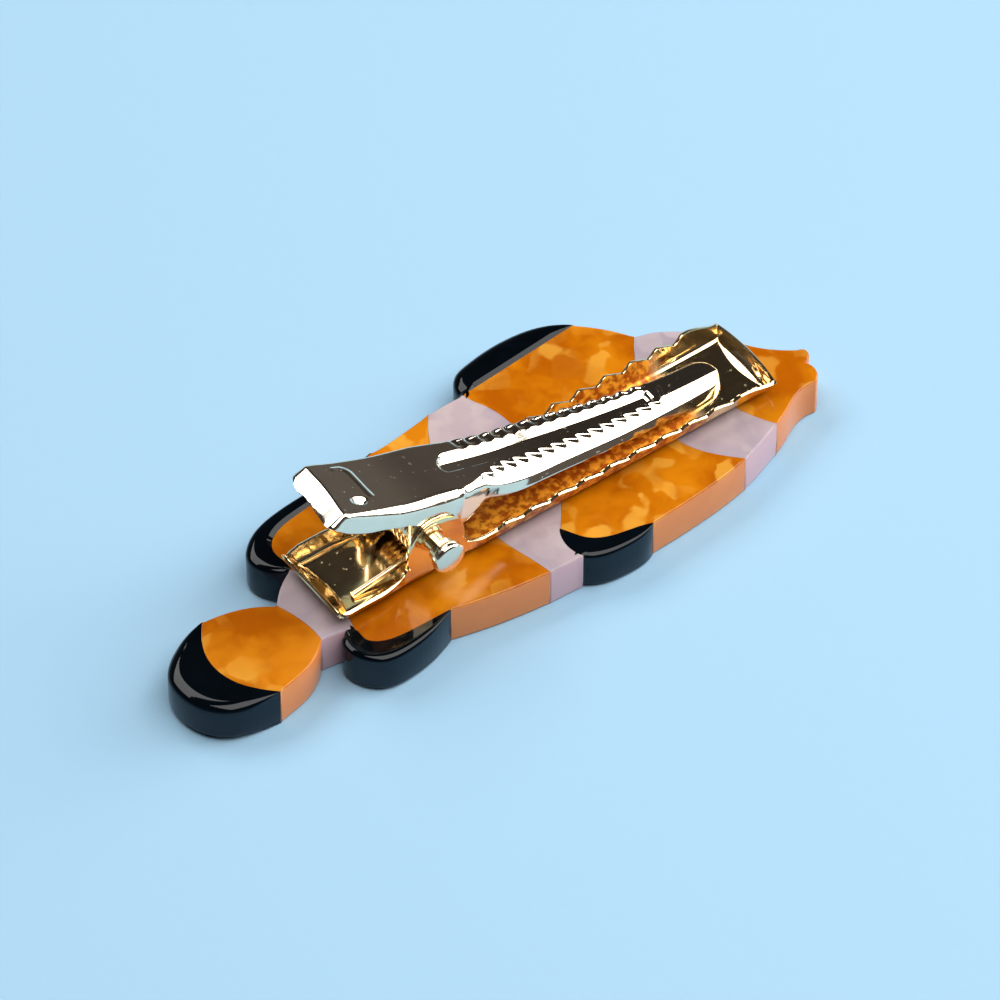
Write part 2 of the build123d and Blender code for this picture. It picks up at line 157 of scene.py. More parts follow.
def slab_mesh(outline, at_joint, edge, drop_share, slopes, high):
    """Rings of a closed outline: a straight wall, then a quarter ellipse in to a flat face, at each end.

    A point of the free outline moves square to it, by the edge's radius times one minus the cosine. A
    point of a joint slides along the joint as far as its corner has moved in, and drops as much. If the
    panel slopes, its top runs down to the joints that face the near side. The last ring lies on the
    flat face, just inside the rounded edge, so that the face shades flat.
    """
    tangent = averaged(np.roll(outline, -1, 0) - np.roll(outline, 1, 0), 1)
    tangent = tangent / np.linalg.norm(tangent, axis=1)[:, None]
    inward = np.stack([-tangent[:, 1], tangent[:, 0]], 1)
    behind = wall_behind(outline, inward)
    round_by = averaged(np.minimum(edge, EDGE_SHARE * behind), 2)
    ring_gap = np.minimum(FLAT_RING, FLAT_SHARE * behind)
    to_free = distances(outline, outline[~at_joint])
    from_corner = to_free.min(1)
    corner = to_free.argmin(1)
    radius = np.where(at_joint, round_by[~at_joint][corner], round_by)
    toward = np.where(at_joint[:, None], outline[~at_joint][corner] - outline, 0.0)
    length = np.maximum(np.linalg.norm(toward, axis=1), 1e-6)
    faces_near = np.clip(SLOPE_FACING[0] * inward[:, 1] - SLOPE_FACING[1], 0, 1)
    slope_out = slopes * np.clip(from_corner - radius, 0, 1) * faces_near
    turns = np.linspace(0, np.pi / 2, EDGE_RINGS)[:, None]
    rings = []
    for inset in [*(radius * (1 - np.cos(turns))), radius + ring_gap]:
        slide = np.clip(inset - from_corner, 0, None)
        moved = np.where(at_joint[:, None], outline - toward / length[:, None] * slide[:, None],
                         outline + inward * inset[:, None])
        reach = np.where(at_joint, np.maximum(from_corner, inset), inset)
        inside = np.clip(radius - reach, 0, None)
        drop = drop_share * (radius - np.sqrt(radius**2 - inside**2))
        share = np.clip(inset / radius, 0, 1)
        moved = moved + inward * (slope_out * share * SLOPE_REACH)[:, None]
        rings.append((moved, drop, np.maximum(drop, slope_out * (1 - share) * SLOPE_DROP)))
    stack = [np.column_stack([moved, drop]) for moved, drop, _ in rings[::-1]]
    stack += [np.column_stack([moved, high - top_drop]) for moved, _, top_drop in rings]
    points, faces = stacked_rings(stack)
    count = len(outline)
    faces.append(np.arange(count)[::-1].tolist())
    faces.append(((len(stack) - 1) * count + np.arange(count)).tolist())
    return points, faces


def new_material(name, base, roughness, metallic=0.0):
    """A material of one plain colour, and its shader."""
    material = bpy.data.materials.new(name)
    material.use_nodes = True
    shader = material.node_tree.nodes["Principled BSDF"]
    shader.inputs["Base Color"].default_value = (*base, 1)
    shader.inputs["Roughness"].default_value = roughness
    shader.inputs["Metallic"].default_value = metallic
    return material, shader


def add_node(tree, kind, links=(), **values):
    """A node with its attributes set, and its inputs linked to a socket or set to a value."""
    node = tree.nodes.new(kind)
    for key, value in values.items():
        setattr(node, key, value)
    for socket, source in links:
        if hasattr(source, "links"):
            tree.links.new(source, node.inputs[socket])
        else:
            node.inputs[socket].default_value = source
    return node


def marble_and_side_light_group():
    """Acetate's marbling: soft clouds of two depths of colour, and pale angular chips under the surface.

    The cut sides get painted light by the way they face: lighter and warmer on orange and pearl, where the
    table's light comes through them, and blue on black, a painted reflection of the table.
    """
    group = bpy.data.node_groups.new("marbled_acetate_painted_sides", "ShaderNodeTree")
    for name, kind, way in (("Deep", "NodeSocketColor", "INPUT"), ("Clear", "NodeSocketColor", "INPUT"),
                            ("Pale", "NodeSocketColor", "INPUT"), ("Side", "NodeSocketColor", "INPUT"),
                            ("Chips", "NodeSocketFloat", "INPUT"), ("Color", "NodeSocketColor", "OUTPUT"),
                            ("Cloud", "NodeSocketFloat", "OUTPUT")):
        group.interface.new_socket(name=name, in_out=way, socket_type=kind)
    given = group.nodes.new("NodeGroupInput").outputs
    result = group.nodes.new("NodeGroupOutput").inputs
    place = add_node(group, "ShaderNodeTexCoord").outputs["Object"]
    warp = add_node(group, "ShaderNodeTexNoise", [("Vector", place), ("Scale", 260.0), ("Detail", 3.0)])
    shift = add_node(group, "ShaderNodeVectorMath", [(0, warp.outputs["Color"]), (1, (0.5, 0.5, 0.5))],
                     operation="SUBTRACT")
    shift = add_node(group, "ShaderNodeVectorMath", [(0, shift.outputs[0]), ("Scale", 0.0035)],
                     operation="SCALE")
    moved = add_node(group, "ShaderNodeVectorMath", [(0, place), (1, shift.outputs[0])]).outputs[0]
    clouds = add_node(group, "ShaderNodeTexNoise",
                      [("Vector", moved), ("Scale", 190.0), ("Detail", 3.0), ("Roughness", 0.55)])
    cloud = add_node(group, "ShaderNodeMapRange",
                     [("Value", clouds.outputs["Fac"]), ("From Min", 0.34), ("From Max", 0.66)],
                     interpolation_type="SMOOTHSTEP").outputs["Result"]
    colour = add_node(group, "ShaderNodeMix", [("Factor", cloud), ("A", given["Deep"]),
                                               ("B", given["Clear"])], data_type="RGBA")
    chips = add_node(group, "ShaderNodeTexVoronoi",
                     [("Vector", moved), ("Scale", 520.0), ("Smoothness", 0.5)], feature="SMOOTH_F1")
    chip_tone = add_node(group, "ShaderNodeSeparateColor", [("Color", chips.outputs["Color"])])
    chip_mask = add_node(group, "ShaderNodeMapRange",
                         [("Value", chip_tone.outputs[0]), ("From Min", 0.42), ("From Max", 0.95)],
                         interpolation_type="SMOOTHSTEP")
    drifts = add_node(group, "ShaderNodeTexNoise", [("Vector", moved), ("Scale", 70.0), ("Detail", 1.0)])
    drift_mask = add_node(group, "ShaderNodeMapRange",
                          [("Value", drifts.outputs["Fac"]), ("From Min", 0.38), ("From Max", 0.6)],
                          interpolation_type="SMOOTHSTEP")
    chip = add_node(group, "ShaderNodeMath", [(0, chip_mask.outputs[0]), (1, drift_mask.outputs[0])],
                    operation="MULTIPLY")
    share = add_node(group, "ShaderNodeMath", [(0, chip.outputs[0]), (1, given["Chips"])],
                     operation="MULTIPLY")
    chipped = add_node(group, "ShaderNodeMix", [("Factor", share.outputs[0]),
                                                ("A", colour.outputs["Result"]), ("B", given["Pale"])],
                       data_type="RGBA")
    # Painted light: faces that turn away from the top are mixed towards the side colour, which stands in for
    # the table's light through and on the cut sides.
    facing = add_node(group, "ShaderNodeSeparateXYZ",
                      [("Vector", add_node(group, "ShaderNodeNewGeometry").outputs["Normal"])])
    upright = add_node(group, "ShaderNodeMapRange",
                       [("Value", facing.outputs["Z"]), ("From Min", 0.8), ("From Max", 0.1)],
                       interpolation_type="SMOOTHSTEP")
    side = add_node(group, "ShaderNodeMath", [(0, upright.outputs[0]), (1, 0.85)], operation="MULTIPLY")
    final = add_node(group, "ShaderNodeMix", [("Factor", side.outputs[0]), ("A", chipped.outputs["Result"]),
                                              ("B", given["Side"])], data_type="RGBA")
    group.links.new(final.outputs["Result"], result["Color"])
    group.links.new(cloud, result["Cloud"])
    return group


marbling = marble_and_side_light_group()
ACETATE_ROUGHNESS = 0.22
SCATTER_RADIUS = (1.0, 0.45, 0.2)
SCATTER_SCALE = 0.0012


def acetate(name, deep, clear, pale, side, chips, scatter, roughness, gloss):
    """Polished acetate: marbled colour under a glossy skin, with light passing a little way in."""
    material, shader = new_material(name, clear, ACETATE_ROUGHNESS)
    tree = material.node_tree
    marble = add_node(tree, "ShaderNodeGroup", node_tree=marbling)
    for socket, value in (("Deep", (*deep, 1)), ("Clear", (*clear, 1)), ("Pale", (*pale, 1)),
                          ("Side", (*side, 1)), ("Chips", chips)):
        marble.inputs[socket].default_value = value
    tree.links.new(marble.outputs["Color"], shader.inputs["Base Color"])
    rough = add_node(tree, "ShaderNodeMapRange", [("Value", marble.outputs["Cloud"]), ("To Min", roughness),
                                                  ("To Max", 1.6 * roughness)])
    tree.links.new(rough.outputs["Result"], shader.inputs["Roughness"])
    wave = add_node(tree, "ShaderNodeTexNoise",
                    [("Vector", add_node(tree, "ShaderNodeTexCoord").outputs["Object"]), ("Scale", 140.0)])
    bump = add_node(tree, "ShaderNodeBump", [("Strength", 0.03), ("Distance", 0.0003),
                                             ("Height", wave.outputs["Fac"])])
    tree.links.new(bump.outputs["Normal"], shader.inputs["Normal"])
    shader.inputs["Specular IOR Level"].default_value = gloss
    shader.inputs["Subsurface Weight"].default_value = scatter
    shader.inputs["Subsurface Radius"].default_value = SCATTER_RADIUS
    shader.inputs["Subsurface Scale"].default_value = SCATTER_SCALE
    return material


# The fourth colour of each finish is painted light for its cut sides: lighter on orange and pearl, and on
# black a blue painted reflection of the table.
PANEL_FINISH = {
    "orange_acetate": acetate("orange_acetate", (0.33, 0.075, 0.0005), (0.50, 0.155, 0.0015),
                              (0.66, 0.33, 0.04), (0.88, 0.28, 0.08), 0.6, 0.1, 0.12, 0.4),
    "pearl_acetate": acetate("pearl_acetate", (0.30, 0.245, 0.28), (0.385, 0.30, 0.31),
                             (0.46, 0.38, 0.37), (0.72, 0.44, 0.47), 0.5, 0.1, 0.14, 0.4),
    "black_acetate": acetate("black_acetate", (0.0006, 0.0014, 0.0024), (0.001, 0.0022, 0.0036),
                             (0.0015, 0.003, 0.005), (0.0003, 0.011, 0.024), 0.3, 0.0, 0.035, 0.24),
}
outlines = {node: evenly(top_outline(node), OUTLINE_STEP)
            for node in ORANGE_PANELS + PEARL_PANELS + BLACK_PANELS}
for node, outline in outlines.items():
    finish = ("orange_acetate" if node in ORANGE_PANELS else
              "pearl_acetate" if node in PEARL_PANELS else "black_acetate")
    edge, drop_share = (ROUND_EDGE, EDGE_DROP) if node in BLACK_PANELS else (SOFT_EDGE, 1.0)
    others = np.concatenate([points for name, points in outlines.items() if name != node])
    at_joint = distances(outline, others).min(1) < JOINT_REACH
    points, faces = slab_mesh(outline, at_joint, edge, drop_share, node in SLOPING_PANELS, PANEL_THICKNESS)
    panel = write_mesh("acetate_" + node, points, faces)
    panel.data.materials.append(PANEL_FINISH[finish])
    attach(panel, "fish")
    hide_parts(node)

# The clip's lever: one pressing of gold-plated steel sheet, a shallow arch from the thumb plate down to
# the tongue. Its edges are rolled down into flanges, the tongue has a sunk groove between serrated
# borders, and an ear hangs from each flange onto the rivet.
CLIP_X = 4.7
CLIP_Y = -2.25
PIVOT = (-12.5, 7.83)
LEVER_SHEET = 0.3
CUT_EDGE = 0.06
LEVER_BEND = 80.09
LEVER_TIP = (19.2, 6.10)
LEVER_LENGTH = 42.05
NEAR_HALVES = ((-22.5, 3.68), (-19.5, 3.7), (-15.5, 3.72), (-12.0, 3.5), (-9.7, 3.35), (-7.3, 2.85),
               (-6.0, 2.6), (-3.0, 2.6), (-0.7, 2.47), (1.4, 2.3), (4.2, 2.15), (8.1, 2.0), (12.1, 1.8),
               (16.0, 1.63), (19.2, 1.55))
FAR_HALVES = ((-22.5, 3.45), (-20.3, 3.5), (-16.9, 3.6), (-13.5, 3.68), (-10.5, 3.7), (-9.0, 3.58),
              (-7.1, 3.33), (-5.5, 3.15), (-3.5, 3.0), (0.0, 2.98), (3.0, 2.75), (4.7, 2.6), (8.1, 2.25),
              (12.1, 1.85), (16.0, 1.63), (19.2, 1.55))
PLATE_LIFT = ((-22.5, 0.0), (-15.0, 0.0), (-10.0, 0.25), (-3.0, 0.33), (3.0, 0.4), (10.0, 0.3), (19.2, 0.05))
NEAR_ROLL = ((-22.5, 0.4), (-20.4, 0.5), (-18.0, 0.85), (-15.6, 1.1), (-9.5, 1.05), (-6.0, 0.5),
             (-4.0, 0.37), (-3.0, 0.35), (19.2, 0.35))
FAR_ROLL = 0.45
TAIL_ROLL = 0.45
FLANGE_DEPTHS = ((-22.3, 0.9), (-21.5, 1.05), (-20.2, 1.57), (-19.15, 1.7), (-18.1, 1.76), (-17.2, 1.67),
                 (-15.9, 1.65), (-14.3, 1.7), (-11.3, 3.2), (-9.5, 3.0), (-8.0, 2.75), (-7.0, 2.1),
                 (-6.2, 1.3), (-5.2, 1.15), (19.2, 1.15))
FLANGE_LEAN = 10
FAR_FLANGE_START = (-20.9, -19.4)
SPREAD_STRETCH = (-5.0, -1.0, 15.5, 18.5)
SPREAD_LEAN = 27.0
SPREAD_SHALLOWER = 0.46
EAR_CLEARANCE = 3.6
CLEARANCE_SHIFT = -0.4
TAIL_FAN = 3.45
TAIL_SQUARENESS = 10
TAIL_TURN = 52
TAIL_LIP_LENGTH = 1.65
LIP_NEAR_LOSS = (0.15, 2.6, 3.6)
LIP_MIDDLE_LOSS = (0.07, 0.7, 0.9)
LIP_FAR_LOSS = (0.28, 1.8, 3.5)
LEAST_FLANGE = 0.05
TAIL_SKEW = 0.88
SKEW_ACROSS = (-1.0, 3.6)
SKEW_FROM_END = (6, 0.5)
TIP_FAN = 1.65
LINE_STEP = 0.12
FAN_RAYS = 91
RAY_CROWDING = 0.16
FLAT_LINES = 31
ROLL_LINES = 8
SKIRT_LINES = 4
TONGUE_HALVES = (2.6, 2.98)
GROOVE_ENDS = (-9.4, 12.6)
GROOVE_END_SLOPES = (0.5, 0.6)
GROOVE_END_MIDDLE = 0.4
GROOVE_FAR_WALL = (0.95, 1.88)
GROOVE_NEAR_WALL = (0.2, 0.4)
GROOVE_DEPTH = 0.43
BEADED_ENDS = (-7.2, -5.6, 12.6, 13.2)
BEAD_PITCH = 1.3
BEAD_HEIGHT = 0.14
BEAD_START = 2.1
BEAD_RISE = 0.25
BEAD_ROUNDNESS = 0.7
BEAD_RUN_OVER = 0.7
BORDER_WAVE = 0.07
BORDER_START = (1.3, 1.4)
PLATEAU_SLOPE = 0.1
NEAR_SLOPE = 0.52
NEAR_SLOPE_FADE = 0.6
NEAR_FACING = (0.3, 0.9)
FAR_FACING = (0.9, 1.0)
ROPE_SPREAD = 1.1
SKEW_POWER = 1.5
NEAR_LINE = ((-22.5, 4.2), (-10.0, 3.6), (-9.0, 2.6), (-7.9, 2.25), (-6.8, 1.75),
             (-5.8, 1.25), (-4.6, 0.85), (-3.6, 0.7), (-3.2, 0.7), (19.2, 0.7))
SAW_DEPTH = 0.75
SAW_RISE = 0.12
LINE_CORNER = (-17.35, 2.45)
LINE_ROUND = 0.75
LINE_HEIGHT = 0.07
LINE_HALF = 0.26
LINE_FADES = ((-19.0, -18.5), (-1.6, -1.2))
THUMB_DENT = (-18.79, -1.59)
DENT_LENGTH = 0.8
DENT_SLOPE = (0.4, -0.3)
DENT_BACK = -0.65
DENT_DEPTH = 0.35
BAR_X = 13.4
BAR_SLANT = 0.3
BAR_HEIGHT = 0.05
BAR_HALF = 0.22
BAR_REACH = (0.6, 0.9)


def flowing(table, at):
    """A smooth curve through a table's points: cubic pieces that share slopes, level where it turns back."""
    given, values = np.array(table, float).T
    steps = np.diff(values)
    turning = np.concatenate([[False], steps[:-1] * steps[1:] <= 0, [False]])
    slopes = np.where(turning, 0, np.gradient(values, given))
    piece = np.clip(np.searchsorted(given, at) - 1, 0, len(given) - 2)
    width = given[piece + 1] - given[piece]
    share = np.clip((at - given[piece]) / width, 0, 1)
    rest = 1 - share
    return ((1 + 2 * share) * rest**2 * values[piece] + share * rest**2 * width * slopes[piece]
            + (3 - 2 * share) * share**2 * values[piece + 1] - share**2 * rest * width * slopes[piece + 1])


def easing(value, low, high):
    """From 0 at low to 1 at high, level at both ends."""
    share = np.clip((value - low) / (high - low), 0, 1)
    return share**2 * (3 - 2 * share)


def along_clip(bend):
    """A place along the clip from an arc length up the lever."""
    return LEVER_TIP[0] - LEVER_BEND * np.sin(bend / LEVER_BEND)


def bump_on(distance, half_width):
    """A rounded ridge of height 1 over a line, from the distance to the line."""
    return np.clip(1 - (distance / half_width)**2, 0, None)**0.5


def ramp(value, low, high):
    """From 0 at low to 1 at high, in a straight line."""
    return np.clip((value - low) / (high - low), 0, 1)


def beaded_stretch(along):
    """Where the tongue's borders are beaded: 1 there, fading out at both ends."""
    return (easing(along, BEADED_ENDS[0], BEADED_ENDS[1])
            * easing(-along, -BEADED_ENDS[3], -BEADED_ENDS[2]))


def bead_phase(along, across):
    """Which bead a place on the far border belongs to: the beads lie slanted."""
    return along / BEAD_PITCH + 0.5 * (across - BEAD_START)


def lever_relief(along, across):
    """How far the lever's top is pressed up or down.

    The tongue has a groove with a wide far slope under a beaded border, a near side that slopes off
    from a saw-toothed line, and a low bar near its tip. The thumb plate has a raised line that turns a
    corner, and a round tilted dent.
    """
    near = across < 0
    scale = np.maximum(1, np.where(near, TONGUE_HALVES[0] / flowing(NEAR_HALVES, along),
                                   TONGUE_HALVES[1] / flowing(FAR_HALVES, along)))
    scaled = across * scale
    beaded = beaded_stretch(along)
    round_end = along - 0.5 * (scaled - GROOVE_END_MIDDLE)**2
    inside = (easing(round_end, GROOVE_ENDS[0], GROOVE_ENDS[0] + GROOVE_END_SLOPES[0])
              * easing(-along, -GROOVE_ENDS[1], GROOVE_END_SLOPES[1] - GROOVE_ENDS[1]))
    groove = -GROOVE_DEPTH * inside * ramp(-scaled, -GROOVE_FAR_WALL[1], -GROOVE_FAR_WALL[0])
    groove = groove * ramp(scaled, -GROOVE_NEAR_WALL[1], -GROOVE_NEAR_WALL[0])
    border = -BORDER_WAVE * beaded * np.sin(np.pi * along / BEAD_PITCH)**2 * ramp(scaled, *BORDER_START)
    beads = BEAD_HEIGHT * beaded * ramp(scaled, BEAD_START, BEAD_START + BEAD_RISE) * (
        np.abs(np.cos(np.pi * bead_phase(along, scaled)))**BEAD_ROUNDNESS - 1)
    near_line = flowing(NEAR_LINE, along)
    saw_line = near_line + SAW_DEPTH * beaded * np.mod(along / BEAD_PITCH, 1)
    steep = (NEAR_SLOPE - PLATEAU_SLOPE) * ramp(-scaled, saw_line, saw_line + SAW_RISE)
    slope = -(PLATEAU_SLOPE + steep) * np.clip(-scaled - near_line, 0, None) / scale
    corner_along = along - LINE_CORNER[0] + LINE_ROUND
    corner_across = across - LINE_CORNER[1] + LINE_ROUND
    from_line = (np.hypot(np.clip(corner_along, 0, None), np.clip(corner_across, 0, None))
                 + np.minimum(np.maximum(corner_along, corner_across), 0) - LINE_ROUND)
    line = LINE_HEIGHT * bump_on(from_line, LINE_HALF)
    line = line * easing(across, *LINE_FADES[1]) * easing(along, *LINE_FADES[0])
    dent_share = np.sqrt(np.clip(1 - ((along - THUMB_DENT[0]) / DENT_LENGTH)**2, 1e-4, 1))
    in_dent = (across - THUMB_DENT[1]) / dent_share
    dent = -DENT_DEPTH * dent_share * np.minimum(ramp(-in_dent, -DENT_SLOPE[0], -DENT_SLOPE[1]),
                                                 ramp(in_dent, DENT_BACK, DENT_SLOPE[1]))
    bar = BAR_HEIGHT * bump_on(along - BAR_X - BAR_SLANT * across, BAR_HALF)
    bar = bar * easing(-np.abs(across), -BAR_REACH[1], -BAR_REACH[0])
    return np.minimum(groove, border) + beads + slope + line + dent + bar


def lever_point(bend, across, below):
    """A place from arc length, distance across and depth under the top: an arc about a centre far above."""
    turn = bend / LEVER_BEND
    radius = LEVER_BEND + below - flowing(PLATE_LIFT, along_clip(bend))
    return np.stack([CLIP_X + LEVER_TIP[0] - radius * np.sin(turn), CLIP_Y + across,
                     LEVER_TIP[1] + LEVER_BEND - radius * np.cos(turn)], -1)


# The lever's top is a set of rays: square to its middle line along the body, and fanned out at its ends,
# where they crowd at the corners. Each ray crosses the flat top, the rolled edge and the flange.
body = np.linspace(TIP_FAN, LEVER_LENGTH - TAIL_FAN, int((LEVER_LENGTH - TAIL_FAN - TIP_FAN) / LINE_STEP))
turns = np.linspace(-np.pi / 2, np.pi / 2, FAN_RAYS + 2)[1:-1]
turns = turns + RAY_CROWDING * np.sin(4 * turns)
halves = np.stack([flowing(NEAR_HALVES, along_clip(body)), flowing(FAR_HALVES, along_clip(body))])
tip_half = np.where(turns < 0, halves[0, 0], halves[1, 0])
tail_half = np.where(turns < 0, halves[1, -1], halves[0, -1])
tip_reach = 1 / np.hypot(np.cos(turns) / TIP_FAN, np.sin(turns) / tip_half)
tail_reach = ((np.cos(turns) / TAIL_FAN)**TAIL_SQUARENESS
              + (np.abs(np.sin(turns)) / tail_half)**TAIL_SQUARENESS)**(-1 / TAIL_SQUARENESS)
start = np.concatenate([body[::-1], TIP_FAN + 0 * turns, body, LEVER_LENGTH - TAIL_FAN + 0 * turns])
side_way = np.stack([0 * body, 1 + 0 * body])
tip_way = np.stack([-np.cos(turns), np.sin(turns)])
tail_way = np.stack([np.cos(turns), -np.sin(turns)])
tip_normal = tip_way / np.stack([TIP_FAN**2 + 0 * turns, tip_half**2])
tail_share = tail_way * tail_reach / np.stack([TAIL_FAN + 0 * turns, tail_half])
tail_normal = np.sign(tail_way) * np.abs(tail_share)**(TAIL_SQUARENESS - 1)
edge_way = np.concatenate([-side_way[:, ::-1], tip_way, side_way, tail_way], 1)
normal = np.concatenate([-side_way[:, ::-1], tip_normal, side_way, tail_normal], 1)
normal = normal / np.linalg.norm(normal, axis=0)
edge = edge_way * np.concatenate([halves[0, ::-1], tip_reach, halves[1], tail_reach])
place = along_clip(start + edge[0])
at_tail = np.clip(normal[0], 0, None)**2
near_side = np.clip(-normal[1], 0, 1)
roll = np.where(edge[1] < 0, flowing(NEAR_ROLL, place), FAR_ROLL) * (1 - at_tail)
roll = roll + TAIL_ROLL * at_tail
plate_z = (LEVER_TIP[1] + LEVER_BEND * (1 - np.cos((start + edge[0]) / LEVER_BEND))
           + flowing(PLATE_LIFT, place))
over_ear = EAR_CLEARANCE**2 - (place - PIVOT[0] - CLEARANCE_SHIFT)**2
ear_room = np.where(over_ear > 0, plate_z - PIVOT[1] - np.sqrt(np.clip(over_ear, 0, None)), np.inf)
depth = np.minimum(flowing(FLANGE_DEPTHS, place), ear_room)
spread = ramp(place, *SPREAD_STRETCH[:2]) * (1 - ramp(place, *SPREAD_STRETCH[2:])) * (edge[1] < 0)
depth = depth * (1 - SPREAD_SHALLOWER * spread)
side_turn = 90 - FLANGE_LEAN - SPREAD_LEAN * spread
last_turn = np.radians(side_turn - (side_turn - TAIL_TURN) * at_tail)
past_line = flowing(NEAR_HALVES, place) - flowing(NEAR_LINE, place)
first_turn = np.arctan(NEAR_SLOPE) * ramp(past_line, 0, NEAR_SLOPE_FADE) * ramp(near_side, *NEAR_FACING)
roll_drop = roll * (np.cos(first_turn) - np.cos(last_turn))
flat = edge - normal * roll * (np.sin(last_turn) - np.sin(first_turn))
sunk = -lever_relief(place, flat[1]) * (edge[1] > 0)
lip = TAIL_LIP_LENGTH * (1 - LIP_FAR_LOSS[0] * easing(edge[1], *LIP_FAR_LOSS[1:])
                         - LIP_MIDDLE_LOSS[0] * bump_on(edge[1] - LIP_MIDDLE_LOSS[1], LIP_MIDDLE_LOSS[2])
                         - LIP_NEAR_LOSS[0] * easing(-edge[1], *LIP_NEAR_LOSS[1:]))
depth = np.where(edge[1] > 0, depth * ramp(place, *FAR_FLANGE_START), depth)
down_skirt = (np.clip(depth - roll_drop - sunk, LEAST_FLANGE, None) * (1 - at_tail)
              + lip * np.sin(np.radians(TAIL_TURN)) * at_tail)
rolled = np.linspace(0, 1, ROLL_LINES + 1)[1:]
far_beads = beaded_stretch(place) * ramp(normal[1], *FAR_FACING)
far_phase = bead_phase(place[:, None], flat[1][:, None] + BEAD_RUN_OVER * rolled)
rope = (BEAD_HEIGHT * far_beads[:, None] * np.abs(np.cos(np.pi * far_phase))**BEAD_ROUNDNESS
        * np.sin(np.pi * np.clip(rolled * ROPE_SPREAD, 0, 1)))
turned = first_turn[:, None] + (last_turn - first_turn)[:, None] * rolled
skirt = down_skirt[:, None] * np.linspace(0, 1, SKIRT_LINES + 1)[1:]
level = np.zeros((len(start), FLAT_LINES))
roll_out = roll[:, None] * (np.sin(turned) - np.sin(first_turn)[:, None]) + rope * np.sin(turned)
skirt_out = (roll * (np.sin(last_turn) - np.sin(first_turn)))[:, None] + skirt / np.tan(last_turn)[:, None]
past_flat = np.concatenate([level, roll_out, skirt_out], 1)
roll_down = roll[:, None] * (np.cos(first_turn)[:, None] - np.cos(turned)) - rope * np.cos(turned)
below = np.concatenate([level, roll_down, roll_drop[:, None] + skirt], 1)
outward = np.concatenate([np.linspace(0, 1, FLAT_LINES), np.ones(ROLL_LINES + SKIRT_LINES)])
bends = start[:, None] + flat[0][:, None] * outward + normal[0][:, None] * past_flat
acrosses = flat[1][:, None] * outward + normal[1][:, None] * past_flat
skew = TAIL_SKEW * ramp(-acrosses, *SKEW_ACROSS)**SKEW_POWER
bends = bends + skew * easing(bends, LEVER_LENGTH - SKEW_FROM_END[0], LEVER_LENGTH - SKEW_FROM_END[1])
on_top = np.clip(np.arange(len(outward)), None, FLAT_LINES - 1)
below = below - lever_relief(along_clip(bends[:, on_top]), acrosses[:, on_top])
points, faces = stacked_rings(lever_point(bends, acrosses, below).transpose(1, 0, 2)[::-1])
lever = write_mesh("lever_pressing", points, faces, crease=60)


def thicken(thing, thickness, edge):
    """Sheet metal's thickness behind a surface, with its cut edges slightly rounded."""
    sheet = thing.modifiers.new("sheet", "SOLIDIFY")
    sheet.thickness = thickness
    sheet.offset = -1
    sheet.use_even_offset = False
    bevel = thing.modifiers.new("cut_edges", "BEVEL")
    bevel.width = edge
    bevel.segments = 2
    bevel.limit_method = "ANGLE"
    bevel.angle_limit = np.radians(60)


thicken(lever, LEVER_SHEET * MM, CUT_EDGE * MM)

# Each lever ear is a disc with a shaft hole, drawn up under the plate: rings carried round the pivot.
LEVER_EAR = 2.3
SHAFT_HOLE = 0.93
EAR_SHEET = 0.5
EAR_ROUNDING = 0.12
EAR_UNDER_PLATE = 1.1
LEVER_EAR_OUTSIDE = 3.4
ROUND_POINTS = 72
LEAST_SHARE = 0.01
slope = np.tan(np.arcsin((LEVER_TIP[0] - PIVOT[0]) / LEVER_BEND))
ear_top = (LEVER_TIP[1] + LEVER_BEND - np.sqrt(LEVER_BEND**2 - (LEVER_TIP[0] - PIVOT[0])**2)
           - EAR_UNDER_PLATE)
round_ear = np.linspace(0, 2 * np.pi, ROUND_POINTS + 1)[:-1]
to_side = LEVER_EAR / np.maximum(np.abs(np.cos(round_ear)), LEAST_SHARE)
rising = np.sin(round_ear) + slope * np.cos(round_ear)
to_plate = (ear_top - PIVOT[1]) / np.maximum(rising, LEAST_SHARE)
ear_reach = np.where(np.sin(round_ear) > 0, np.minimum(to_side, to_plate), LEVER_EAR)
lever_pieces = [lever]
ear_hole = SHAFT_HOLE + 0 * ear_reach
ear_flat = ear_reach - EAR_ROUNDING
radii = np.stack([ear_hole, ear_flat, ear_reach, ear_reach, ear_flat, ear_hole])
levels = np.array([0, 0, EAR_ROUNDING, EAR_SHEET - EAR_ROUNDING, EAR_SHEET, EAR_SHEET])[:, None] + 0 * radii
for name, near_face in (("lever_ear_near", -LEVER_EAR_OUTSIDE),
                        ("lever_ear_far", LEVER_EAR_OUTSIDE - EAR_SHEET)):
    rings = np.stack([CLIP_X + PIVOT[0] + radii * np.cos(round_ear), CLIP_Y + near_face + levels,
                      PIVOT[1] + radii * np.sin(round_ear)], -1)
    points, faces = stacked_rings(np.concatenate([rings, rings[:1]])[::-1])
    lever_pieces.append(write_mesh(name, points, faces))


